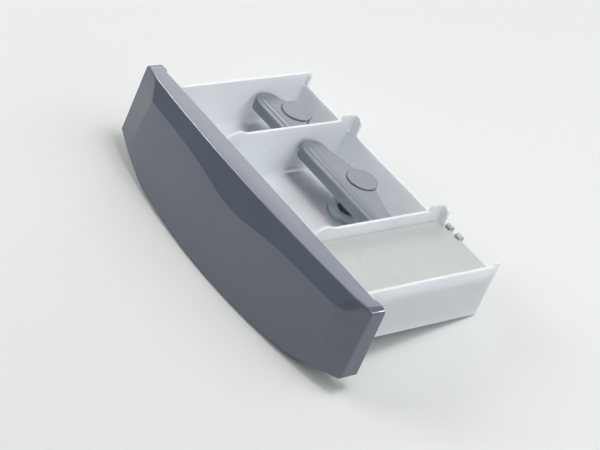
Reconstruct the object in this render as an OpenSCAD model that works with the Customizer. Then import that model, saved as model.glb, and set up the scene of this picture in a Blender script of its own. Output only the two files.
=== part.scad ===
// Detergent dispenser drawer of a front load washing machine.
// It is drawn from the tray's top edge and the plane behind the handle's strip, front towards -Y.
// place() then moves it, so that the origin lies below the middle of the whole drawer.

/* [Handle] */
// Width of the handle
handle_w = 255; // [230:1:280]
// Height of the handle at its two ends
handle_end_h = 53; // [50:0.5:60]
// Height of the handle in the middle, down to the pull lip
handle_mid_h = 70; // [67:0.5:80]
// Depth of the top strip in the middle
strip_d = 16; // [15:0.5:20]
// Depth of the end walls at the top
end_d = 9; // [8:0.5:12]
// How far the pull lip stands in front of the strip
lip_reach = 10; // [6:0.5:14]
// Wall of the handle shell
handle_wall = 2.2; // [1.8:0.1:2.8]
// How far the end walls reach behind the strip
end_overlap = 1.9; // [1:0.1:2.5]

/* [Tray] */
// How far the handle stands past the tray on the left
overhang_l = 26; // [24:0.5:32]
// How far the handle stands past the tray on the right
overhang_r = 16; // [14.5:0.5:22]
// Depth of the tray behind the handle
tray_d = 114; // [108:1:130]
// Height of the tray
tray_h = 41.5; // [38:0.5:46]
// Thickness of the outer walls
wall = 2; // [1.6:0.1:2.4]
// Thickness of the dividers
divider = 1.8; // [1.6:0.1:2.4]
// Thickness of the floor
floor_t = 3; // [2:0.1:4]
// Share of the tray's inner width that the left compartment takes, in percent
left_share = 25.46; // [24:0.02:28]
// Share of the tray's inner width that the middle compartment takes, in percent
middle_share = 47.04; // [44:0.02:48]
// How far the back wall stays below the top edge
back_drop = 9; // [8:0.5:12]
// How far the divider posts rise above the top edge, at the back
post_rise = 4; // [2:0.5:6]

/* [Siphons] */
// Width of a siphon cap from front to back
cap_w = 20; // [18:0.5:22]
// Height of a siphon cap's hood
cap_h = 8.6; // [8:0.2:14]
// Wall of a siphon cap
cap_wall = 1.4; // [1.2:0.1:1.8]
// Depth of the cap's flat top below the top edge
cap_drop = 10.6; // [9:0.2:12]
// Gap between a cap's end and the compartment wall
cap_end_gap = 0.8; // [0.5:0.1:4]
// Diameter of the round plug
plug_dia = 22; // [20:0.5:24]
// Outer diameter of the cap's down tube
tube_dia = 13; // [12:0.5:14]
// Outer diameter of the standpipe
pipe_dia = 8; // [7:0.5:8.5]
// Bore of the standpipe
pipe_bore = 5.5; // [4:0.5:6]
// Outer diameter of the collar on the floor
collar_dia = 29; // [26:0.5:31]
// Height of the collar
collar_h = 5; // [4:0.5:7]

/* [Cover] */
// Thickness of the cover
cover_t = 1.8; // [1.4:0.1:2.4]
// Gap between the cover's edge and the walls beside it
cover_gap = 0.4; // [0.3:0.1:1]
// Diameter of the two rolled hooks
hook_dia = 4.2; // [3.8:0.2:5]
// Length of one hook
hook_l = 5; // [4:0.5:6]
// Distance from one hook to the next
hook_pitch = 10.1; // [9:0.1:12]

/* [Fasteners] */
// Diameter of the screw shank
screw_dia = 3.4; // [3:0.1:4]
// Diameter of the screw head
screw_head_dia = 7; // [6:0.5:7.5]
// Length of the screw shank
screw_l = 7.5; // [6.5:0.5:8]

/* [Hidden] */
$fn = 64;
eps = 0.01;        // overlap that joins two shapes of one piece
over = 1;          // how far a cut runs past the face that it opens
far = 60;          // reach of a cut that leaves the drawer altogether
seat = 0.3;        // gap where one piece rests on another
tight_fit = 0.02;  // radial clearance of a screw or plug that stays put

white = [0.80, 0.82, 0.85];
dark_grey = [0.33, 0.34, 0.38];
mid_grey = [0.58, 0.60, 0.64];
sea_grey = [0.47, 0.53, 0.53];
pale = [0.80, 0.81, 0.79];
steel = [0.72, 0.72, 0.74];

function lerp(a, b, t) = a + (b - a) * t;
function sq(t) = t * t;

// ---------- places that several pieces share ----------
half_w = handle_w / 2;
tray_l = overhang_l - half_w;
tray_r = half_w - overhang_r;
tray_w = tray_r - tray_l;
inner_w = tray_w - 2 * wall - 2 * divider;
left_w = inner_w * left_share / 100;
middle_w = inner_w * middle_share / 100;
floor_top = floor_t - tray_h;
left_x0 = tray_l + wall;
left_x1 = left_x0 + left_w;
middle_x0 = left_x1 + divider;
middle_x1 = middle_x0 + middle_w;
right_x0 = middle_x1 + divider;
right_x1 = tray_r - wall;
front_wall_y = seat + wall;
inner_d = tray_d - wall;

plate_t = 2.4;                        // the tray's front plate, inside the handle
plate_back = -0.6;
plate_front = plate_back - plate_t;
screw_z = [-14, -38];
screw_x = [(tray_l - half_w + handle_wall) / 2, (tray_r + half_w - handle_wall) / 2];

softener_x = (left_x0 + left_x1) / 2;
detergent_x = (middle_x0 + middle_x1) / 2;
siphon_back = 28;     // from a siphon to the tray's rear
plug_sink = 0.9;      // how deep a plug's seat lies in the hood's top
siphon_y = tray_d - siphon_back;
plug_seat_z = -cap_drop - plug_sink;

cover_top = -back_drop;
cover_bottom = cover_top - cover_t;
cover_lap = 1.1;      // how far the cover reaches past the back wall
hook_out = 1.2;
hook_lift = 0.2;
cover_rear = tray_d + cover_lap;
ear_w = 5.6;
hook_y = cover_rear + hook_out;
hook_z = cover_top + hook_lift;

lip_front = strip_d + lip_reach;
rear_end = hook_y + hook_dia / 2;

module place() {
    translate([0, (lip_front - rear_end) / 2, handle_mid_h]) children();
}
// Extrudes a drawing in X and Z from y0 to y1
module along_y(y0, y1) {
    translate([0, y1, 0]) rotate([90, 0, 0]) linear_extrude(y1 - y0) children();
}
// Extrudes a drawing in Y and Z from x0 to x1
module along_x(x0, x1) {
    translate([x0, 0, 0]) rotate([90, 0, 90]) linear_extrude(x1 - x0) children();
}
// A rectangle from (x0, y0) to (x1, y1) with round corners
module round_rect(x0, y0, x1, y1, r) {
    for (x = [x0 + r, x1 - r]) for (y = [y0 + r, y1 - r]) translate([x, y]) circle(r = r);
    translate([x0 + r, y0]) square([x1 - x0 - 2 * r, y1 - y0]);
    translate([x0, y0 + r]) square([x1 - x0, y1 - y0 - 2 * r]);
}

// ---------- handle: a bowed panel below a crease, between two bevelled ends ----------
// Depths d are counted down from the top edge, and skin depths forward from the strip's back.
// u runs from -1 to 1 across the bowed stretch between the bevels.
edge_r = 0.6;                  // rounding of the strip's front edge
corner_r = 1.5;                // rounding between a bevel and the end wall
crease_z = 12.3;
crease_dip = 7.5;              // how much lower the crease runs in the middle
crease_spread = 36;
crease_out = 4.4;              // how far the crease bows forward
strip_bow = 4.6;               // how much the strip narrows towards its ends
end_flare = 3.2;               // how much deeper the end walls are at the bottom
bevel_w = 14.5;                // width of a bevel at the top and at the foot
crease_bevel_w = 23.5;         // and at the crease, where it is widest
skin_over = 4;                 // how far the face is drawn past the foot
top_half = half_w - bevel_w;
crease_half = half_w - crease_bevel_w;
foot_half = half_w - bevel_w;
skin_foot = handle_mid_h + skin_over;

function crease_at(x) = crease_z + crease_dip * exp(-sq(x / crease_spread));
function panel_half(d) = d < crease_z
    ? lerp(top_half, crease_half, max(0, d) / crease_z)
    : lerp(crease_half, foot_half, (d - crease_z) / (handle_mid_h - crease_z));
function bow(u) = 1 - sq(u);
function skin_at(u, d) =
    let (cd = crease_at(u * crease_half))
    d < cd ? lerp(strip_d - strip_bow * sq(u), strip_d + crease_out * bow(u), max(0, d) / cd)
           : strip_d + lerp(crease_out, lip_reach, (d - cd) / (handle_mid_h - cd)) * bow(u);
function end_at(d) = end_d + end_flare * max(0, d) / handle_end_h;
function bevel_at(x, d) =
    lerp(strip_d, end_at(d), (abs(x) - panel_half(d)) / (half_w - corner_r - panel_half(d)));

// Rows of the face, each [stretch, place in it, setback]: the rounded edge, the band, the panel
rows = concat(
    [[0, -2, edge_r], [0, 0, edge_r], [0, 0.3 * edge_r, 0.3 * edge_r]],
    [for (t = [0, 0.35, 0.7]) [1, t, 0]],
    [for (i = [0:8]) [2, i / 8, 0]]);
function row_depth(row, cd) =
    row[0] == 0 ? row[1] : row[0] == 1 ? lerp(edge_r, cd, row[1]) : lerp(cd, skin_foot, row[1]);
// Column c is u up to 1, runs over the bevel to 2, and rounds the upright edge at 3 and 4
function face_point(c, row, off) =
    let (a = abs(c), u = min(1, a))
    let (d = row_depth(row, crease_at(u * crease_half)))
    let (h = panel_half(d) - off, w = half_w - off - corner_r)
    let (x = a <= 1 ? c * h : sign(c) * (a <= 2 ? lerp(h, w, a - 1) : w + corner_r * (a == 3 ? 0.7 : 1)))
    let (turn = a == 3 ? 0.3 * corner_r : a == 4 ? corner_r : 0)
    let (skin = lerp(skin_at(u, d), end_at(d), max(0, min(1, a - 1))))
    [x, off + row[2] + turn - skin, -d];

// Everything behind the face, moved back by off, as far as the plane y = back
module face_solid(off, back, panel_cols) {
    cols = concat([-4, -3, -2, -1.5], [for (i = [0:panel_cols]) -1 + 2 * i / panel_cols], [1.5, 2, 3, 4]);
    n = len(cols);
    m = len(rows);
    k = n * m;
    end = k - m;
    front = [for (c = cols) for (row = rows) face_point(c, row, off)];
    rear = [for (p = front) [p[0], back, p[2]]];
    polyhedron(concat(front, rear), concat(
        // The face and the flat rear
        [for (i = [0:n - 2]) for (j = [0:m - 2]) let (a = i * m + j, b = a + m) each [
            [a, b, b + 1], [a, b + 1, a + 1],
            [k + a, k + b + 1, k + b], [k + a, k + a + 1, k + b + 1]]],
        // Top and bottom
        [for (i = [0:n - 2]) let (a = i * m, b = a + m, e = b - 1, g = e + m) each [
            [a, k + a, k + b], [a, k + b, b], [e, g, k + g], [e, k + g, k + e]]],
        // The two ends
        [for (j = [0:m - 2]) let (b = end + j) each [
            [j, j + 1, k + j + 1], [j, k + j + 1, k + j],
            [b, k + b, k + b + 1], [b, k + b + 1, b + 1]]]
    ), convexity = 6);
}

// The handle from the front: rounded top corners, a shallow arc below, straight rises to the ends
arc_half = 0.337 * handle_w;
arc_rise = 4;
top_r = 3.5;
foot_r = 2;          // rounding of the two lower corners
min_r = 0.5;
module handle_outline(inset) {
    half = half_w - inset;
    r = max(min_r, top_r - inset);
    rf = max(min_r, foot_r - inset);
    turn = 90 - atan2(handle_mid_h - arc_rise - handle_end_h, half_w - arc_half);
    corner = [for (i = [0:4]) let (a = turn * i / 4)
        [half - rf + rf * cos(a), inset - handle_end_h + rf * (tan(turn / 2) - sin(a))]];
    steps = 24;
    polygon(concat(
        [[half, -inset - r]],
        corner,
        [for (i = [steps:-1:0]) let (s = 2 * i / steps - 1)
            [s * arc_half, inset - handle_mid_h + arc_rise * sq(s)]],
        [for (i = [4:-1:0]) [-corner[i][0], corner[i][1]]],
        [[-half, -inset - r]]
    ));
    translate([r - half, -inset - r - eps]) square([2 * half - 2 * r, r + eps]);
    for (s = [-1, 1]) translate([s * (half - r), -inset - r]) circle(r = r);
}

end_cap_w = 8.5;     // width of the ends that reach behind the strip
lip_w = 3.2;         // width of the flange that the fingers pull on
lip_open_z = -30;    // where the flange's opening starts
module handle_shell() {
    difference() {
        intersection() {
            face_solid(0, end_overlap, 32);
            along_y(-far, end_overlap) handle_outline(0);
        }
        // The room behind the face, down to a flange along the lower edge
        intersection() {
            face_solid(handle_wall, far, 12);
            along_y(-far, far) handle_outline(handle_wall);
        }
        // The flange is open behind the lip
        intersection() {
            face_solid(handle_wall + lip_w, far, 12);
            translate([handle_wall + lip_w - half_w, -far, lip_open_z - far])
                cube([handle_w - 2 * (handle_wall + lip_w), 2 * far, far]);
        }
        translate([end_cap_w - half_w, 0, -handle_wall - over])
            cube([handle_w - 2 * end_cap_w, far, far]);
    }
}
// Upright ribs that stiffen the face; their front edge ends inside the wall
rib_count = 5;
rib_pitch = 2 * crease_half / (rib_count + 0.2);
rib_t = 1.6;
rib_clear = 2.5;
rib_back = plate_front - rib_clear;
module handle_ribs() {
    steps = 8;
    for (k = [0:rib_count - 1])
        let (x = (k - (rib_count - 1) / 2) * rib_pitch)
        along_x(x - rib_t / 2, x + rib_t / 2) polygon(concat(
            [[rib_back, -handle_wall / 2], [rib_back, -tray_h]],
            [for (i = [steps:-1:0]) let (d = lerp(handle_wall / 2, tray_h, i / steps))
                [handle_wall / 2 - skin_at(x / panel_half(d), d), -d]]
        ));
}
// Screw bosses behind the bevelled ends
boss_wall = 1.7;
boss_dia = screw_dia + 2 * boss_wall;
module handle_bosses() {
    for (x = screw_x) for (z = screw_z)
        translate([x, plate_front - seat, z]) rotate([90, 0, 0])
            cylinder(d = boss_dia, h = bevel_at(x, -z) - handle_wall / 2 + plate_front - seat);
}
module handle_front() {
    color(dark_grey) place() difference() {
        union() {
            handle_shell();
            handle_ribs();
            handle_bosses();
        }
        for (x = screw_x) for (z = screw_z)
            translate([x, plate_back, z]) rotate([90, 0, 0])
                cylinder(d = screw_dia + 2 * tight_fit, h = screw_l + seat);
    }
}

// ---------- screws: pan heads with a cross recess ----------
head_h = 2.1;
recess_w = 0.9;
recess_l = 4;
module screw() {
    dome_r = (sq(screw_head_dia / 2) + sq(head_h)) / (2 * head_h) * 1.4;
    difference() {
        union() {
            rotate_extrude() intersection() {
                translate([0, head_h - dome_r]) circle(r = dome_r);
                square([screw_head_dia / 2, head_h]);
            }
            mirror([0, 0, 1]) cylinder(d = screw_dia, h = screw_l);
        }
        for (a = [0, 90]) rotate([0, 0, a])
            translate([0, 0, head_h]) cube([recess_l, recess_w, head_h], center = true);
    }
}
module handle_screws() {
    color(steel) place()
        for (x = screw_x) for (z = screw_z)
            translate([x, plate_back, z]) rotate([-90, 0, 0]) rotate([0, 0, 45]) screw();
}

// ---------- tray ----------
pocket_r = 4;
keel_r = 1.5;
rear_keel_r = 4;
plan_r = 1;
plate_drop = 2;      // how far the front plate hangs below the tray
// A compartment's room, with fillets at the floor and in the corners
module pocket(x0, x1) {
    intersection() {
        translate([0, 0, floor_top]) linear_extrude(far)
            round_rect(x0, front_wall_y, x1, inner_d, pocket_r);
        along_y(front_wall_y - over, inner_d + over) round_rect(x0, floor_top, x1, far, pocket_r);
        along_x(x0 - over, x1 + over) round_rect(front_wall_y, floor_top, inner_d, far, pocket_r);
    }
}
// The tray up to the back wall's top, with its front plate
module tray_shell() {
    difference() {
        union() {
            intersection() {
                translate([0, 0, -tray_h]) linear_extrude(tray_h - back_drop)
                    round_rect(tray_l, plate_front, tray_r, tray_d, plan_r);
                along_y(seat, tray_d) round_rect(tray_l, -tray_h, tray_r, far, keel_r);
                along_x(tray_l, tray_r) round_rect(-far, -tray_h, tray_d, far, rear_keel_r);
            }
            along_y(plate_front, plate_back) intersection() {
                handle_outline(handle_wall + seat);
                translate([-half_w, -tray_h - plate_drop]) square([handle_w, tray_h + plate_drop]);
            }
            translate([left_x0, plate_front, -tray_h + keel_r])
                cube([right_x1 - left_x0, front_wall_y + pocket_r - plate_front,
                    tray_h - keel_r - handle_wall - seat]);
        }
        pocket(left_x0, left_x1);
        pocket(middle_x0, middle_x1);
        pocket(right_x0, right_x1);
    }
}
// The two outer walls above the back wall's top
module side_walls() {
    root = back_drop + over;
    translate([0, 0, -root]) linear_extrude(root) difference() {
        round_rect(tray_l, -far, tray_r, tray_d, plan_r);
        translate([left_x0, -far - over]) square([right_x1 - left_x0, 2 * far + tray_d]);
        translate([tray_l - over, -far - over]) square([tray_w + 2 * over, far + over + seat]);
    }
}
// A divider from the side: it rises from the front to a small hump, and ends in a post at the back
front_sag = 2.4;
hump_y = 12;
hump_h = 2.2;
hump_round = 4;      // length over which the rise bends into the hump's top
hump_fall = 8;
post_l = 12.5;
post_crown = 0.9;    // how much higher a post is at its front
post_r = 2;
ramp = 0.6;
module divider_profile() {
    steps = 8;
    slope = (hump_h + front_sag) / (hump_y - hump_round / 2 - seat);
    post_y = tray_d - post_l;
    post_z = post_rise + post_crown;
    polygon(concat(
        [[seat, -back_drop - over], [seat, -front_sag]],
        [for (i = [0:steps / 2]) let (t = 1 - 2 * i / steps)
            [hump_y - hump_round * t, hump_h - slope * hump_round / 2 * sq(t)]],
        [for (i = [1:steps]) let (t = i / steps)
            [hump_y + hump_fall * t, hump_h * (1 + cos(180 * t)) / 2]],
        [[post_y - ramp, 0]],
        [for (i = [0:steps]) let (a = 180 - 90 * i / steps)
            [post_y + post_r + post_r * cos(a), post_z - post_r + post_r * sin(a)]],
        [[tray_d, post_rise], [tray_d, -back_drop - over]]
    ));
}
// The ear that a wall turns along the back wall, with a hollow fillet at its foot
ear_corner = 4.4;
module ear(x, w, rise, fillet) {
    corner = min(ear_corner, 0.8 * w);
    along_y(inner_d, tray_d) difference() {
        translate([x - eps, cover_top - eps]) square([w + fillet + eps, back_drop + rise + eps]);
        translate([x + w - corner, rise - corner]) difference() {
            square(corner + over);
            circle(r = corner);
        }
        if (fillet > 0) {
            translate([x + w, cover_top + fillet]) square([fillet + over, back_drop + rise]);
            translate([x + w + fillet, cover_top + fillet]) circle(r = fillet);
        }
    }
}
ledge_w = 1.6;
ledge_h = 2.4;
ledge_end = 6;
module cover_ledges() {
    for (x = [right_x0 - eps, right_x1 - ledge_w + eps])
        translate([x, front_wall_y + ledge_end, cover_bottom - seat - ledge_h])
            cube([ledge_w, inner_d - front_wall_y - 2 * ledge_end, ledge_h]);
}
far_ear_w = 2.2;
far_ear_fillet = 2;
wide_ear_w = 6.6;
wide_ear_fillet = 3;
tab_l = 3.2;         // small tab on the right wall's rear corner
tab_h = 3;
outlet_w = 36;
outlet_h = 12;
pipe_gap = 6;        // from the standpipe's top to the plug's seat
pipe_rise = tray_h + plug_seat_z - pipe_gap;
hole_clear = 0.5;
screw_hole_dia = screw_dia + hole_clear;
module tray() {
    back_cut = pocket_r + wall + over;
    color(white) place() difference() {
        union() {
            tray_shell();
            side_walls();
            for (x = [left_x1, middle_x1]) along_x(x, x + divider) divider_profile();
            ear(left_x0, far_ear_w, 0, far_ear_fillet);
            ear(middle_x0, wide_ear_w, post_rise, wide_ear_fillet);
            ear(right_x0, ear_w, post_rise, 0);
            cover_ledges();
            along_x(right_x1, tray_r) translate([tray_d - plan_r - tab_l / 2, tab_h - tab_l / 2]) {
                circle(d = tab_l);
                translate([-tab_l / 2, -tab_h]) square([tab_l, tab_h]);
            }
            for (x = [softener_x, detergent_x])
                translate([x, siphon_y, -tray_h]) cylinder(d = pipe_dia, h = pipe_rise);
        }
        for (x = [softener_x, detergent_x])
            translate([x, siphon_y, -tray_h - over]) cylinder(d = pipe_bore, h = tray_h + over);
        // Under the cover the back wall is lower, and has a water outlet at its foot
        translate([right_x0 + ear_w + eps, inner_d - pocket_r, cover_bottom - seat])
            cube([right_x1 - right_x0 - ear_w - eps, back_cut, cover_t + over]);
        translate([(right_x0 + right_x1 - outlet_w) / 2, inner_d - pocket_r, floor_top])
            cube([outlet_w, back_cut, outlet_h]);
        for (x = screw_x) for (z = screw_z)
            translate([x, plate_back + over, z]) rotate([90, 0, 0])
                cylinder(d = screw_hole_dia, h = plate_t + 2 * over);
    }
}

// ---------- siphon caps: loaf-shaped hoods with a rolled ridge and a down tube ----------
hood_round = 2;        // rounding of the hood's upper edge
swell_max = 36;        // half width of its swelling towards the plug
swell_out = 4.2;
swell_half = 0.41 * plug_dia;
ridge_r = 2.4;
ridge_in = 5.2;        // from the hood's front to the ridge's middle
ridge_sink = 1.1;      // how far the ridge's middle lies below the hood's top
cap_ahead = 12.5;      // from the hood's middle line to the siphon
cap_y = siphon_y - cap_ahead;
function cap_half(w) = w / 2 - cap_end_gap;
// Half of the hood's section, with a rounded upper edge
module hood_section(inset, low, top) {
    r = hood_round - inset;
    edge = cap_w / 2 - inset;
    translate([0, low]) square([edge, top - low - r]);
    translate([0, low]) square([edge - r, top - low]);
    translate([edge - r, top - r]) circle(r = r);
}
// The hood's outside, or its inside when inset; the inside runs on downwards by below
module hood(half, inset, below) {
    low = -cap_drop - cap_h - below;
    top = -cap_drop - inset;
    run = half - cap_w / 2;
    swell = min(run, swell_max);
    swell_rear = cap_y + cap_w / 2 - hood_round;
    tip = siphon_y + swell_out - inset;
    for (s = [-1, 1]) translate([s * run, cap_y, 0]) rotate_extrude() hood_section(inset, low, top);
    translate([0, cap_y, 0]) along_x(-run, run) {
        hood_section(inset, low, top);
        mirror([1, 0]) hood_section(inset, low, top);
    }
    translate([0, 0, low]) linear_extrude(top - low) {
        polygon([[-swell, cap_y], [swell, cap_y], [swell, swell_rear],
            [swell_half, tip], [-swell_half, tip], [-swell, swell_rear]]);
        translate([0, siphon_y]) circle(d = plug_dia - 2 * seat - 2 * inset);
    }
}
module ridge(half) {
    run = half - cap_w / 2;
    translate([-run, cap_y - cap_w / 2 + ridge_in, -cap_drop - ridge_sink])
        rotate([0, 90, 0]) rotate_extrude() {
            square([ridge_r, 2 * run]);
            intersection() {
                for (z = [0, 2 * run]) translate([0, z]) circle(r = ridge_r);
                translate([0, -ridge_r]) square([ridge_r, 2 * (run + ridge_r)]);
            }
        }
}
tube_bottom = floor_top + seat;
tube_wall = 1.3;
tube_bore = tube_dia - 2 * tube_wall;
seat_disc_t = 2.2;
inlet_w = 4;
inlet_h = 3.5;
plug_groove = 0.5;     // gap round the plug where it stands in the hood's top
module siphon_cap(half) {
    difference() {
        union() {
            difference() {
                union() {
                    hood(half, 0, 0);
                    ridge(half);
                }
                hood(half, cap_wall, over);
            }
            translate([0, siphon_y, plug_seat_z - seat_disc_t])
                cylinder(d = plug_dia - 2 * seat, h = seat_disc_t);
            translate([0, siphon_y, tube_bottom]) cylinder(d = tube_dia, h = plug_seat_z - tube_bottom);
        }
        translate([0, siphon_y, plug_seat_z]) cylinder(d = plug_dia + 2 * plug_groove, h = cap_h);
        translate([0, siphon_y, tube_bottom - over])
            cylinder(d = tube_bore, h = plug_seat_z - tube_bottom + 2 * over);
        // Inlets at the foot of the down tube
        for (a = [0, 90]) translate([0, siphon_y, tube_bottom]) rotate([0, 0, a])
            cube([tube_dia + over, inlet_w, 2 * inlet_h], center = true);
    }
}
plug_t = 2;
plug_edge_r = 0.5;
spigot_h = 1.6;
module siphon_plug() {
    r = plug_dia / 2 - plug_edge_r;
    translate([0, siphon_y, plug_seat_z]) rotate_extrude() {
        square([r, plug_t]);
        square([r + plug_edge_r, plug_t - plug_edge_r]);
        translate([r, plug_t - plug_edge_r]) circle(r = plug_edge_r);
        translate([0, -spigot_h]) square([tube_bore / 2 - tight_fit, spigot_h + eps]);
    }
}
collar_clear = 1.2;
module siphon_collar() {
    bore_r = tube_dia / 2 + collar_clear;
    round_r = (collar_dia / 2 - bore_r) / 2;
    translate([0, siphon_y, floor_top]) rotate_extrude() intersection() {
        union() {
            translate([bore_r, 0]) square([2 * round_r, collar_h - round_r]);
            translate([bore_r + round_r, collar_h - round_r]) circle(r = round_r);
        }
        square([collar_dia, collar_h]);
    }
}
module softener_siphon_cap() {
    color(mid_grey) place() translate([softener_x, 0, 0]) siphon_cap(cap_half(left_w));
}
module softener_siphon_plug() {
    color(mid_grey) place() translate([softener_x, 0, 0]) siphon_plug();
}
module softener_siphon_collar() {
    color(sea_grey) place() translate([softener_x, 0, 0]) siphon_collar();
}
module detergent_siphon_cap() {
    color(mid_grey) place() translate([detergent_x, 0, 0]) siphon_cap(cap_half(middle_w));
}
module detergent_siphon_plug() {
    color(mid_grey) place() translate([detergent_x, 0, 0]) siphon_plug();
}
module detergent_siphon_collar() {
    color(sea_grey) place() translate([detergent_x, 0, 0]) siphon_collar();
}

// ---------- cover: a ribbed plate with two rolled hooks over the back wall ----------
cover_set_back = 0.7;  // gap between the cover and the front wall
cover_front = front_wall_y + cover_set_back;
cover_corner = 4;
rib_w = 1.4;
rib_h = 3;
rib_gap = 3;           // from a ledge to the rib beside it
finger_d = 1.4;
finger_h = 6;
finger_y = tray_d + seat;
slot_w = 1;
slot_end = 0.4;
slot_y = finger_y - slot_w;
module cover_plan() {
    x1 = right_x1 - cover_gap;
    clear_x = right_x0 + ear_w + cover_gap;
    lap = inner_d - 3 * cover_corner;
    // Its corners clear the round corners of the compartment
    round_rect(right_x0 + cover_gap, cover_front, x1, inner_d - cover_gap, pocket_r);
    // The strip over the back wall, rounded at its free corner
    round_rect(clear_x, lap, x1, cover_rear, cover_corner);
    translate([x1 - 2 * cover_corner, lap]) square([2 * cover_corner, cover_rear - lap]);
}
module cover_hook() {
    translate([0, hook_y, hook_z]) rotate([0, 90, 0]) cylinder(d = hook_dia, h = hook_l);
    translate([0, cover_rear - eps, cover_bottom]) cube([hook_l, hook_y - cover_rear, cover_t]);
    translate([0, finger_y, cover_bottom - finger_h]) cube([hook_l, finger_d, finger_h + eps]);
}
module compartment_cover() {
    rib_in = ledge_w + rib_gap;
    slot_l = hook_l - 2 * slot_end;
    hook_x = right_x0 + ear_w + cover_gap;
    color(pale) place() difference() {
        union() {
            translate([0, 0, cover_bottom]) linear_extrude(cover_t) cover_plan();
            for (x = [right_x0 + rib_in, right_x1 - rib_in - rib_w])
                translate([x, cover_front + ledge_end, cover_bottom - rib_h])
                    cube([rib_w, inner_d - cover_front - 3 * ledge_end, rib_h + eps]);
            for (i = [0, 1]) translate([hook_x + i * hook_pitch, 0, 0]) cover_hook();
        }
        for (i = [0, 1])
            translate([hook_x + i * hook_pitch + (hook_l - slot_l) / 2, slot_y, cover_bottom - over])
                cube([slot_l, slot_w, cover_t + 2 * over]);
    }
}

tray();
handle_front();
handle_screws();
softener_siphon_cap();
softener_siphon_plug();
softener_siphon_collar();
detergent_siphon_cap();
detergent_siphon_plug();
detergent_siphon_collar();
compartment_cover();
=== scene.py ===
"""Looks of the detergent dispenser drawer: a finer handle, the cover's marks, materials, light and camera.

Shapes are worked out in millimetres in the drawing's own frame: x along the handle, y backwards
from the handle's strip, z up from the tray's top edge. A depth d is measured down from that edge.
Stage and light are in metres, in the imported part's frame.
"""

import math

import bmesh
import bpy
from mathutils import Matrix, Vector


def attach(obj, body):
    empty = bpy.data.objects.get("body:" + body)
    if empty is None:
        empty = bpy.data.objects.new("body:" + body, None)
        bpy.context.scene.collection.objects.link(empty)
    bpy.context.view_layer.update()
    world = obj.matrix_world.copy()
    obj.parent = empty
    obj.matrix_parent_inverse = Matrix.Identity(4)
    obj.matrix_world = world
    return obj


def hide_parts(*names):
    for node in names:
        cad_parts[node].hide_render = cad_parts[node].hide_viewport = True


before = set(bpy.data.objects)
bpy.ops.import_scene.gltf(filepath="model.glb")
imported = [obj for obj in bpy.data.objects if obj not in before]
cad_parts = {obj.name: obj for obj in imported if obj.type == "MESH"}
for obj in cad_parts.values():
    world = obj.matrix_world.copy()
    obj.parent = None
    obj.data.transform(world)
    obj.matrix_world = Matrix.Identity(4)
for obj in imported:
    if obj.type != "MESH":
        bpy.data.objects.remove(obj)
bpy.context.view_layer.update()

MM = 0.001
ORIGIN = Vector((0.0, -46.2, 70.0))  # the drawing's origin in the row frame, in millimetres
UP = Vector((0, 0, 1))


def to_row(p):
    """A point of the drawing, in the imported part's frame and in metres."""
    return (Vector(p) + ORIGIN) * MM


def lerp(a, b, t):
    return a + (b - a) * t


# ---------- meshes ----------
def mesh_object(name, bm, smooth_angle=30.0, sharp_points=()):
    """A new object from a bmesh in millimetres. An edge is sharp above smooth_angle, or where both
    its ends are in sharp_points."""
    bmesh.ops.recalc_face_normals(bm, faces=bm.faces)
    sharp = set(sharp_points)
    for face in bm.faces:
        face.smooth = True
    limit = math.radians(smooth_angle)
    for edge in bm.edges:
        marked = all(key(v.co) in sharp for v in edge.verts)
        edge.smooth = not marked and edge.calc_face_angle(0.0) < limit
    for v in bm.verts:
        v.co = to_row(v.co)
    mesh = bpy.data.meshes.new(name)
    bm.to_mesh(mesh)
    bm.free()
    obj = bpy.data.objects.new(name, mesh)
    bpy.context.scene.collection.objects.link(obj)
    return obj


def key(p):
    """A point as a name: the same for two points that differ only by rounding."""
    return tuple(round(c, 3) for c in p)


def grid_solid(points, back):
    """A closed bmesh: the grid points[column][row] in front, and a flat rear at y = back."""
    bm = bmesh.new()
    n, m = len(points), len(points[0])
    front = [[bm.verts.new(p) for p in column] for column in points]
    rear = [[bm.verts.new((p[0], back, p[2])) for p in column] for column in points]
    for i in range(n - 1):
        for j in range(m - 1):
            bm.faces.new((front[i][j], front[i + 1][j], front[i + 1][j + 1], front[i][j + 1]))
            bm.faces.new((rear[i][j], rear[i][j + 1], rear[i + 1][j + 1], rear[i + 1][j]))
    for i in range(n - 1):
        bm.faces.new((front[i][0], rear[i][0], rear[i + 1][0], front[i + 1][0]))
        bm.faces.new((front[i][m - 1], front[i + 1][m - 1], rear[i + 1][m - 1], rear[i][m - 1]))
    for j in range(m - 1):
        bm.faces.new((front[0][j], front[0][j + 1], rear[0][j + 1], rear[0][j]))
        bm.faces.new((front[n - 1][j], rear[n - 1][j], rear[n - 1][j + 1], front[n - 1][j + 1]))
    return bm


def prism(outline, place):
    """A closed bmesh between two copies of an outline: place(point, side) puts a point on side -1 or 1."""
    bm = bmesh.new()
    sides = [[bm.verts.new(place(p, s)) for p in outline] for s in (-1, 1)]
    bm.faces.new(sides[0])
    bm.faces.new(sides[1])
    for i in range(len(outline)):
        j = (i + 1) % len(outline)
        bm.faces.new((sides[0][i], sides[0][j], sides[1][j], sides[1][i]))
    return bm


def rod(centre, axis, radius, length):
    """A cylinder that starts at centre and runs along axis."""
    bm = bmesh.new()
    bmesh.ops.create_cone(bm, cap_ends=True, segments=48, radius1=radius, radius2=radius, depth=length)
    turn = UP.rotation_difference(Vector(axis)).to_matrix().to_4x4()
    place = Matrix.Translation(Vector(centre) + Vector(axis) * length / 2)
    bmesh.ops.transform(bm, matrix=place @ turn, verts=bm.verts)
    return bm


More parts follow.
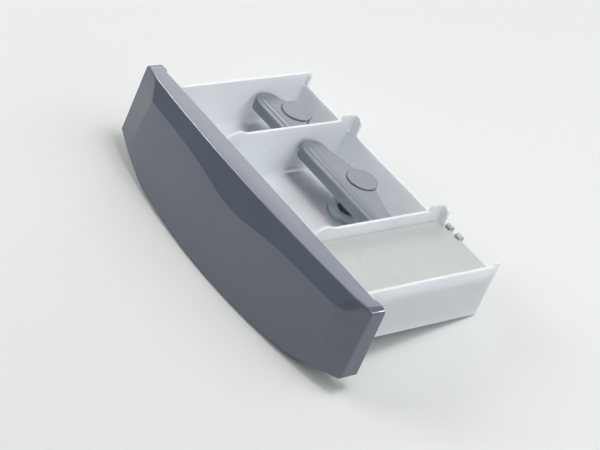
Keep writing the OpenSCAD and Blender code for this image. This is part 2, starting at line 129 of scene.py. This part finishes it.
def combine(bm, others, operation):
    """The bmesh after an exact boolean with each of the others in turn."""
    for other in others:
        parts = []
        for source in (bm, other):
            bmesh.ops.recalc_face_normals(source, faces=source.faces)
            mesh = bpy.data.meshes.new("part")
            source.to_mesh(mesh)
            source.free()
            obj = bpy.data.objects.new("part", mesh)
            bpy.context.scene.collection.objects.link(obj)
            parts.append(obj)
        cut = parts[0].modifiers.new("cut", "BOOLEAN")
        cut.operation, cut.solver, cut.object = operation, "EXACT", parts[1]
        result = parts[0].evaluated_get(bpy.context.evaluated_depsgraph_get()).to_mesh()
        bm = bmesh.new()
        bm.from_mesh(result)
        for obj in parts:
            mesh = obj.data
            bpy.data.objects.remove(obj)
            bpy.data.meshes.remove(mesh)
    return bm


# ---------- handle front, with the sizes of part.scad ----------
HALF = 127.5  # half of the handle's width
WALL = 2.2
MID_H, END_H = 70.0, 53.0  # height in the middle and at the ends
STRIP_D, STRIP_BOW = 16.0, 4.6  # depth of the strip on top, and how much of it is lost towards the ends
END_D, END_FLARE = 9.0, 3.2  # depth of the ends at the top, and what they gain downwards
LIP = 10.0  # how far the middle of the foot stands in front of the strip
# The crease's depth, its dip in the middle and how wide that is, and how far it stands in front of the strip
CREASE_Z, CREASE_DIP, CREASE_SPREAD, CREASE_OUT = 12.3, 7.5, 36.0, 4.4
# Half of the bowed stretch's width at the top, at the crease and at the foot
TOP_HALF, CREASE_HALF, FOOT_HALF = HALF - 14.5, HALF - 23.5, HALF - 14.5
ARC_HALF, ARC_RISE = 0.337 * 2 * HALF, 4.0  # the arched stretch of the lower edge
EDGE_R, CORNER_R, TOP_R, FOOT_R, FOOT_CORNER_R, LEAST_R = 0.6, 1.5, 3.5, 0.7, 2.0, 0.5
BEVEL_STEPS, CORNER_STEPS, EDGE_STEPS, FOOT_STEPS, REACH_STEPS, RIB_STEPS = 6, 8, 5, 4, 16, 16
END_CAP, END_OVERLAP, CAP_SLOPE = 8.5, 1.9, 2.5  # the overhangs behind the strip: width, depth, inner slope
LIP_W, OPENING = 3.2, (30.0, MID_H + 4.0)  # the lip round the open back, and that opening's depths
TRAY_LEFT, TRAY_RIGHT, TRAY_REAR, TRAY_H = -101.5, 111.5, 113, 41.5  # the tray's outsides and its height
PLATE_BACK, PLATE_T = -0.6, 2.4  # the tray's front plate, which closes the handle's back
RIBS_AT, RIB_T, RIB_GAP = (-80, -40, 0, 40, 80), 1.6, 2.5  # ribs, and their distance from the plate
SCREW_DEPTHS, BOSS_R, BOSS_GAP, HOLE_R, HOLE_DEPTH = (14.0, 38.0), 3.4, 0.3, 1.72, 7.8
FAR = 30.0  # where cutting bodies end, outside the handle


def crease_at(x):
    """Depth of the crease at x, which dips towards the middle."""
    return CREASE_Z + CREASE_DIP * math.exp(-((x / CREASE_SPREAD) ** 2))


def panel_half(d):
    """Half of the bowed stretch's width at a depth."""
    if d < CREASE_Z:
        return lerp(TOP_HALF, CREASE_HALF, max(0.0, d) / CREASE_Z)
    return lerp(CREASE_HALF, FOOT_HALF, (d - CREASE_Z) / (MID_H - CREASE_Z))


def skin_at(u, d):
    """How far the bowed stretch stands in front of the strip's back, u from -1 to 1 across it."""
    cd, bow = crease_at(u * CREASE_HALF), 1 - u * u
    if d < cd:
        return lerp(STRIP_D - STRIP_BOW * u * u, STRIP_D + CREASE_OUT * bow, max(0.0, d) / cd)
    return STRIP_D + lerp(CREASE_OUT, LIP, (d - cd) / (MID_H - cd)) * bow


def end_at(d):
    """How far the ends stand in front of the strip's back."""
    return END_D + END_FLARE * max(0.0, d) / END_H


def foot_depth(x, inset=0.0):
    """Depth of the handle's lower edge at x, which turns up round the lower corners."""
    s = abs(x) / ARC_HALF
    r = max(LEAST_R, FOOT_CORNER_R - inset)
    turn = math.pi / 2 - math.atan2(MID_H - ARC_RISE - END_H, HALF - ARC_HALF)
    over = (abs(x) - (HALF - inset - r)) / r
    if over > math.cos(turn):
        return END_H - inset - r * math.tan(turn / 2) + r * math.sqrt(max(0.0, 1 - over * over))
    if s <= 1:
        return MID_H - ARC_RISE * s * s - inset
    return lerp(MID_H - ARC_RISE, END_H, (abs(x) - ARC_HALF) / (HALF - ARC_HALF)) - inset


def head_depth(x, half, inset=0.0):
    """Depth of the upper edge at x, which drops round the top corners."""
    r = max(LEAST_R, TOP_R - inset)
    over = abs(x) - (half - r)
    return inset + (r - math.sqrt(max(0.0, r * r - over * over)) if over > 0 else 0.0)


def face_grid(off, across, fine, reach=None):
    """Columns of points over the face, moved back by off, and the points that lie on its creases.
    With a reach (from, to), the columns run between those depths and not to the outline. A column c is
    on the bowed stretch from -1 to 1, on a bevel up to 2 either way, and round the corner up to 3."""
    panel = [-1 + 2 * i / across for i in range(across + 1)]
    bevel = [1 + i / BEVEL_STEPS for i in range(1, BEVEL_STEPS + 1)]
    turn = [2 + i / CORNER_STEPS for i in range(1, CORNER_STEPS + 1)]
    columns = [-c for c in reversed(bevel + turn)] + panel + bevel + turn
    half = HALF - off
    points, marked = [], set()
    for c in columns:
        a, u = abs(c), min(1.0, abs(c))
        cd = crease_at(u * CREASE_HALF)

        def across_at(d):
            h, w = panel_half(d) - off, half - CORNER_R
            if a <= 1:
                return c * h
            if a <= 2:
                return math.copysign(lerp(h, w, a - 1), c)
            return math.copysign(w + CORNER_R * math.sin(math.pi / 2 * (a - 2)), c)

        top, foot = 0.0, MID_H
        for _ in range(6):  # x depends on the depth and the outline on x, so they settle in turns
            top = head_depth(across_at(top), half, off)
            foot = foot_depth(across_at(foot), off)
        back = CORNER_R * (1 - math.cos(math.pi / 2 * max(0.0, a - 2)))
        crease_row = -1
        if reach:
            depths = [(lerp(*reach, k / REACH_STEPS), 0.0) for k in range(REACH_STEPS + 1)]
        else:
            depths = [(top + EDGE_R * (1 - math.cos(t)), EDGE_R * (1 - math.sin(t)))
                      for t in (math.pi / 2 * k / EDGE_STEPS for k in range(EDGE_STEPS + 1))]
            low = max(top + EDGE_R + 0.5, cd)  # the rows above the crease never close up
            depths += [(lerp(top + EDGE_R, low, k / fine), 0.0) for k in range(1, fine)]
            crease_row = len(depths)
            depths += [(lerp(low, foot - FOOT_R, k / (3 * fine)), 0.0) for k in range(3 * fine + 1)]
            depths += [(foot - FOOT_R + FOOT_R * math.sin(t), FOOT_R * (1 - math.cos(t)))
                       for t in (math.pi / 2 * k / FOOT_STEPS for k in range(1, FOOT_STEPS + 1))]
        column = []
        for row, (d, setback) in enumerate(depths):
            skin = lerp(skin_at(u, d), end_at(d), max(0.0, min(1.0, a - 1)))
            p = Vector((across_at(d), off + setback + back - skin, -d))
            column.append(p)
            if (row == crease_row and a <= 1) or (a == 1 and row >= EDGE_STEPS):
                marked.add(key(p))
        points.append(column)
    return points, marked


def build_handle():
    """The hollow handle with its finger space, ribs, and bosses for the screws."""
    points, marked = face_grid(0.0, across=96, fine=8)
    bm = grid_solid(points, END_OVERLAP)
    inner, _ = face_grid(WALL, across=48, fine=4)
    opening, _ = face_grid(WALL + LIP_W, across=24, fine=4, reach=OPENING)
    end = HALF - END_CAP
    strip = prism([(end, FAR), (end, END_OVERLAP), (end - CAP_SLOPE, 0.0),
                   (CAP_SLOPE - end, 0.0), (-end, END_OVERLAP), (-end, FAR)],
                  lambda p, s: (p[0], p[1], -WALL - 1.0 if s < 0 else FAR))
    bm = combine(bm, [grid_solid(inner, FAR), grid_solid(opening, FAR), strip], "DIFFERENCE")

    plate_front = PLATE_BACK - PLATE_T
    ribs = []
    for x in RIBS_AT:
        outline = [(plate_front - RIB_GAP, -WALL / 2), (plate_front - RIB_GAP, -TRAY_H)]
        for i in range(RIB_STEPS, -1, -1):
            d = lerp(WALL / 2, TRAY_H, i / RIB_STEPS)
            outline.append((WALL / 2 - skin_at(x / panel_half(d), d), -d))
        ribs.append(prism(outline, lambda p, s: (x + s * RIB_T / 2, *p)))
    bosses, holes = [], []
    for x in ((TRAY_LEFT - HALF + WALL) / 2, (TRAY_RIGHT + HALF - WALL) / 2):
        for d in SCREW_DEPTHS:
            h, w = panel_half(d), HALF - CORNER_R
            skin = lerp(STRIP_D, end_at(d), (abs(x) - h) / (w - h))
            start = plate_front - BOSS_GAP
            bosses.append(rod((x, start, -d), (0, -1, 0), BOSS_R, skin - WALL / 2 + start))
            holes.append(rod((x, PLATE_BACK, -d), (0, -1, 0), HOLE_R, HOLE_DEPTH))
    bm = combine(bm, ribs + bosses, "UNION")
    bm = combine(bm, holes, "DIFFERENCE")
    return mesh_object("handle_shell", bm, 28.0, marked)


handle = build_handle()
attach(handle, "drawer")
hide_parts("handle_front")


# ---------- marks moulded into the cover: plain rings and the gate's dot ----------
COVER_TOP = -9.0
RINGS_AT, RING_W, RING_H = (82.6, 41.4, COVER_TOP), 1.3, 0.15
DOT_AT, DOT_R, DOT_W, DOT_H = (80.7, 81.4, COVER_TOP), 0.7, 0.8, 0.25
SUNK = 0.1  # how far a mark reaches into the plate below it


def lathe(profile, centre, segments=96):
    """A ring turned from a closed profile of (radius, height) points."""
    bm = bmesh.new()
    loops = []
    for i in range(segments):
        a = 2 * math.pi * i / segments
        loops.append([bm.verts.new((
            centre[0] + r * math.cos(a), centre[1] + r * math.sin(a), centre[2] + z)) for r, z in profile])
    for i in range(segments):
        for j in range(len(profile)):
            k, m = (i + 1) % segments, (j + 1) % len(profile)
            bm.faces.new((loops[i][j], loops[k][j], loops[k][m], loops[i][m]))
    return bm


def bead(radius, width, height):
    """A low half-round bead's profile, sunk a little into the plate below it."""
    steps = [math.pi * i / 6 for i in range(7)]
    return [(radius + width / 2 * math.cos(t), height * math.sin(t)) for t in steps] + [
        (radius - width / 2, -SUNK), (radius + width / 2, -SUNK)]


marks = [mesh_object("cover_ring_" + name, lathe(bead(radius, RING_W, RING_H), RINGS_AT))
         for name, radius in (("outer", 17.0), ("middle", 12.0), ("inner", 4.0))]
marks.append(mesh_object("cover_gate_dot", lathe(bead(DOT_R, DOT_W, DOT_H), DOT_AT, segments=32)))
for mark in marks:
    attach(mark, "cover")


# ---------- materials ----------
SLOW_SIZE = 45.0  # size of the slow unevenness of a moulded wall, in mm
TINT_RANGE, SHINE_RANGE = 0.03, 0.15  # how far colour and roughness vary, as shares


def plastic(name, colour, roughness, grain=0.0, grain_size=0.4, wave=0.02, milky=0.0, spread=6.0,
            specular=0.5, metallic=0.0):
    """A moulded plastic, or with metallic=1 the screws' steel. grain and wave are the depths of the fine
    texture and of the slow unevenness, milky is the share of light that spreads inside the plastic, and
    spread is how far it does. Lengths are in mm."""
    mat = bpy.data.materials.new(name)
    mat.use_nodes = True
    nodes, links = mat.node_tree.nodes, mat.node_tree.links
    shader = nodes["Principled BSDF"]
    shader.inputs["Metallic"].default_value = metallic
    shader.inputs["Subsurface Weight"].default_value = milky
    shader.inputs["Subsurface Radius"].default_value = (1.0, 1.0, 1.0)
    shader.inputs["Subsurface Scale"].default_value = spread * MM
    shader.inputs["Specular IOR Level"].default_value = specular
    where = nodes.new("ShaderNodeTexCoord")

    def noise(size, detail):
        tex = nodes.new("ShaderNodeTexNoise")
        tex.inputs["Scale"].default_value = 1.0 / (size * MM)
        tex.inputs["Detail"].default_value = detail
        links.new(where.outputs["Object"], tex.inputs["Vector"])
        return tex.outputs["Fac"]

    slow, fine = noise(SLOW_SIZE, 2.0), noise(grain_size, 3.0)
    tint = nodes.new("ShaderNodeMix")
    tint.data_type = "RGBA"
    tint.inputs["A"].default_value = (*[c * (1 - TINT_RANGE) for c in colour], 1)
    tint.inputs["B"].default_value = (*[c * (1 + TINT_RANGE) for c in colour], 1)
    links.new(slow, tint.inputs["Factor"])
    links.new(tint.outputs["Result"], shader.inputs["Base Color"])
    shine = nodes.new("ShaderNodeMapRange")
    shine.inputs["To Min"].default_value = roughness * (1 - SHINE_RANGE)
    shine.inputs["To Max"].default_value = roughness * (1 + SHINE_RANGE)
    links.new(fine, shine.inputs["Value"])
    links.new(shine.outputs["Result"], shader.inputs["Roughness"])
    uneven = nodes.new("ShaderNodeBump")
    uneven.inputs["Distance"].default_value = wave * MM
    links.new(slow, uneven.inputs["Height"])
    last = uneven
    if grain > 0:
        rough = nodes.new("ShaderNodeBump")
        rough.inputs["Distance"].default_value = grain * MM
        links.new(fine, rough.inputs["Height"])
        links.new(uneven.outputs["Normal"], rough.inputs["Normal"])
        last = rough
    links.new(last.outputs["Normal"], shader.inputs["Normal"])
    return mat


def dress(obj, mat):
    """Gives an object one material."""
    obj.data.materials.clear()
    obj.data.materials.append(mat)


HANDLE_GREY = plastic("handle_grey", (0.127, 0.144, 0.190), 0.09, wave=0.03, specular=0.75)
TRAY_WHITE = plastic("tray_white", (0.765, 0.79, 0.83), 0.24, grain=0.003, milky=1.0, specular=0.25)
SIPHON_GREY = plastic("siphon_grey", (0.212, 0.235, 0.268), 0.26, grain=0.01, milky=0.8, spread=5.0)
SEA_GREY = plastic("sea_grey", (0.50, 0.60, 0.62), 0.32, milky=0.8, spread=4.0)
COVER_PALE = plastic("cover_pale", (0.505, 0.525, 0.515), 0.45, grain=0.03, grain_size=0.5)
SCREW_STEEL = plastic("screw_steel", (0.55, 0.55, 0.57), 0.3, metallic=1.0)
for node, mat in {
    "tray": TRAY_WHITE, "handle_screws": SCREW_STEEL, "compartment_cover": COVER_PALE,
    "softener_siphon_cap": SIPHON_GREY, "softener_siphon_plug": SIPHON_GREY,
    "detergent_siphon_cap": SIPHON_GREY, "detergent_siphon_plug": SIPHON_GREY,
    "softener_siphon_collar": SEA_GREY, "detergent_siphon_collar": SEA_GREY,
    "handle_front": HANDLE_GREY,
}.items():
    dress(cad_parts[node], mat)
dress(handle, HANDLE_GREY)
for mark in marks:
    dress(mark, COVER_PALE)


# ---------- floor, light and camera ----------
BACKDROP = (0.83, 0.855, 0.84)  # what the camera sees beyond the floor


def basis(x, y, z, where):
    """The matrix of an object whose axes are x, y and z, at a place in the row frame."""
    return Matrix(((x.x, y.x, z.x, where.x), (x.y, y.y, z.y, where.y), (x.z, y.z, z.z, where.z), (0, 0, 0, 1)))


def stage_sheet(name, bm, matrix, colour, glow=0.0, only_glossy=False):
    """A floor or card from a bmesh in metres. A card that only glossy surfaces show can glow."""
    mesh = bpy.data.meshes.new(name)
    bm.to_mesh(mesh)
    bm.free()
    obj = bpy.data.objects.new(name, mesh)
    bpy.context.scene.collection.objects.link(obj)
    obj.matrix_world = matrix
    mat = bpy.data.materials.new(name)
    mat.use_nodes = True
    shader = mat.node_tree.nodes["Principled BSDF"]
    shader.inputs["Base Color"].default_value = (*colour, 1)
    shader.inputs["Roughness"].default_value = 0.9
    shader.inputs["Emission Color"].default_value = (1, 1, 1, 1)
    shader.inputs["Emission Strength"].default_value = glow
    mesh.materials.append(mat)
    if only_glossy:
        obj.visible_camera = obj.visible_diffuse = obj.visible_shadow = obj.visible_transmission = False
    return obj


def sheet(width, depth):
    """A flat rectangle round the origin."""
    bm = bmesh.new()
    bmesh.ops.create_grid(bm, x_segments=1, y_segments=1, size=0.5)
    bmesh.ops.scale(bm, vec=(width, depth, 1), verts=bm.verts)
    return bm


def screen(radii, height, bearings, steps=24):
    """An upright screen bent round the origin. Bearings are in degrees to the right of -y."""
    bm = bmesh.new()
    posts = []
    for i in range(steps + 1):
        a, radius = math.radians(lerp(*bearings, i / steps)), lerp(*radii, i / steps)
        x, y = radius * math.sin(a), -radius * math.cos(a)
        posts.append([bm.verts.new((x, y, z)) for z in (2 * MM, height)])
    for (a, b), (c, d) in zip(posts, posts[1:]):
        bm.faces.new((a, c, d, b))
    return bm


def fade_out(obj, start, end):
    """Lets a floor run over into the backdrop, for the camera alone, between two distances from its centre."""
    tree = obj.data.materials[0].node_tree
    nodes, links = tree.nodes, tree.links
    where, path = nodes.new("ShaderNodeTexCoord"), nodes.new("ShaderNodeLightPath")
    reach, fade = nodes.new("ShaderNodeVectorMath"), nodes.new("ShaderNodeMapRange")
    seen, pale = nodes.new("ShaderNodeMath"), nodes.new("ShaderNodeEmission")
    mix = nodes.new("ShaderNodeMixShader")
    reach.operation, seen.operation, fade.interpolation_type = "LENGTH", "MULTIPLY", "SMOOTHSTEP"
    fade.inputs["From Min"].default_value, fade.inputs["From Max"].default_value = start, end
    pale.inputs["Color"].default_value = (*BACKDROP, 1)
    links.new(where.outputs["Object"], reach.inputs[0])
    links.new(reach.outputs["Value"], fade.inputs["Value"])
    links.new(fade.outputs["Result"], seen.inputs[0])
    links.new(path.outputs["Is Camera Ray"], seen.inputs[1])
    links.new(seen.outputs["Value"], mix.inputs[0])
    links.new(nodes["Principled BSDF"].outputs["BSDF"], mix.inputs[1])
    links.new(pale.outputs["Emission"], mix.inputs[2])
    links.new(mix.outputs["Shader"], nodes["Material Output"].inputs["Surface"])


# The drawer lies on the lowest point of its handle and on the tray's rear lower edge, half a mm clear
front_rest, rear_rest = to_row((0, -STRIP_D - LIP, -MID_H)), to_row((0, TRAY_REAR, -TRAY_H))
slope = (rear_rest - front_rest).normalized()
floor_up = Vector((1, 0, 0)).cross(slope)
rest = basis(Vector((1, 0, 0)), slope, floor_up, front_rest - floor_up * 0.5 * MM)
fade_out(stage_sheet("floor", sheet(8, 8), rest, (0.755, 0.772, 0.756)), 0.35, 0.9)
# The dark front of the room, which only glossy surfaces such as the handle reflect
stage_sheet("dark_screen", screen((0.55, 0.24), 0.42, (-85, 60)), rest, (0.07, 0.08, 0.10), only_glossy=True)
# A white card at the back on the left, which the handle's strip reflects
card = Vector((-1.55, 1.14, 1.0))
facing = -card.normalized()
side = UP.cross(facing).normalized()
stage_sheet("white_card", sheet(0.8, 0.9), basis(side, facing.cross(side), facing, card),
            (0.8, 0.8, 0.8), glow=0.5, only_glossy=True)


def sky(horizon, zenith):
    """A neutral world whose strength changes smoothly from the horizon up to the zenith. The camera
    itself sees the pale backdrop instead."""
    world = bpy.data.worlds.new("studio")
    world.use_nodes = True
    nodes, links = world.node_tree.nodes, world.node_tree.links
    where = nodes.new("ShaderNodeTexCoord")
    height = nodes.new("ShaderNodeSeparateXYZ")
    fade = nodes.new("ShaderNodeMapRange")
    fade.interpolation_type = "SMOOTHSTEP"
    fade.inputs["From Min"].default_value, fade.inputs["From Max"].default_value = 0.1, 0.7
    fade.inputs["To Min"].default_value, fade.inputs["To Max"].default_value = horizon, zenith
    links.new(where.outputs["Generated"], height.inputs["Vector"])
    links.new(height.outputs["Z"], fade.inputs["Value"])
    nodes["Background"].inputs["Color"].default_value = (0.97, 0.985, 1.0, 1)
    links.new(fade.outputs["Result"], nodes["Background"].inputs["Strength"])
    seen, pale = nodes.new("ShaderNodeLightPath"), nodes.new("ShaderNodeBackground")
    mix = nodes.new("ShaderNodeMixShader")
    pale.inputs["Color"].default_value = (*BACKDROP, 1)
    links.new(seen.outputs["Is Camera Ray"], mix.inputs[0])
    links.new(nodes["Background"].outputs["Background"], mix.inputs[1])
    links.new(pale.outputs["Background"], mix.inputs[2])
    links.new(mix.outputs["Shader"], nodes["World Output"].inputs["Surface"])
    bpy.context.scene.world = world


sky(0.03, 0.29)


def soft_box(name, where, size, power, colour=(1, 1, 1)):
    """A square lamp that faces the drawer."""
    lamp = bpy.data.lights.new(name, "AREA")
    lamp.shape, lamp.size, lamp.energy, lamp.color = "SQUARE", size, power, colour
    obj = bpy.data.objects.new(name, lamp)
    bpy.context.scene.collection.objects.link(obj)
    obj.location = where
    obj.rotation_mode = "QUATERNION"
    obj.rotation_quaternion = (Vector((0, 0, 0.04)) - Vector(where)).to_track_quat("-Z", "Y")
    return obj


# Name, place, size in metres and power in watts
soft_box("overhead", (0.25, 0.0, 1.6), 0.5, 8.8)
soft_box("key", (0.7, 0.3, 1.35), 1.2, 8.7)
soft_box("back", (-1.12, 1.09, 0.93), 1.0, 5.4)
soft_box("left", (-1.1, -1.0, 0.7), 0.8, 6.0)
soft_box("left_low", (-0.85, -0.5, 0.45), 0.8, 2.2)
soft_box("right", (1.5, 0.2, 0.6), 0.8, 2.3, (0.8, 0.9, 1.0))
# Two small lamps that only draw highlights: along the strip's front edge, and on the right end's corner
soft_box("glint_left", (-1.0, -0.42, 1.08), 0.5, 14.0).visible_diffuse = False
soft_box("glint_right", (0.7, 0.84, 0.75), 0.4, 9.0).visible_diffuse = False

# The photograph's viewing angle, from a camera that was solved from the drawer's straight edges
azimuth, elevation, roll = (math.radians(a) for a in (40.0, 33.1, 23.15))
back = Vector((math.sin(azimuth) * math.cos(elevation), -math.cos(azimuth) * math.cos(elevation),
               math.sin(elevation)))
level = (-back).cross(UP).normalized()
upright = level.cross(-back)
right = math.cos(roll) * level + math.sin(roll) * upright
up = -math.sin(roll) * level + math.cos(roll) * upright
lens = bpy.data.cameras.new("camera")
lens.sensor_width, lens.lens = 36.0, 120.42
lens.clip_start, lens.clip_end = 0.05, 50.0
camera = bpy.data.objects.new("camera", lens)
bpy.context.scene.collection.objects.link(camera)
camera.matrix_world = basis(right, up, back, to_row((711.0, -798.6, 676.1)))
bpy.context.scene.camera = camera
bpy.context.scene.view_settings.view_transform = "Standard"
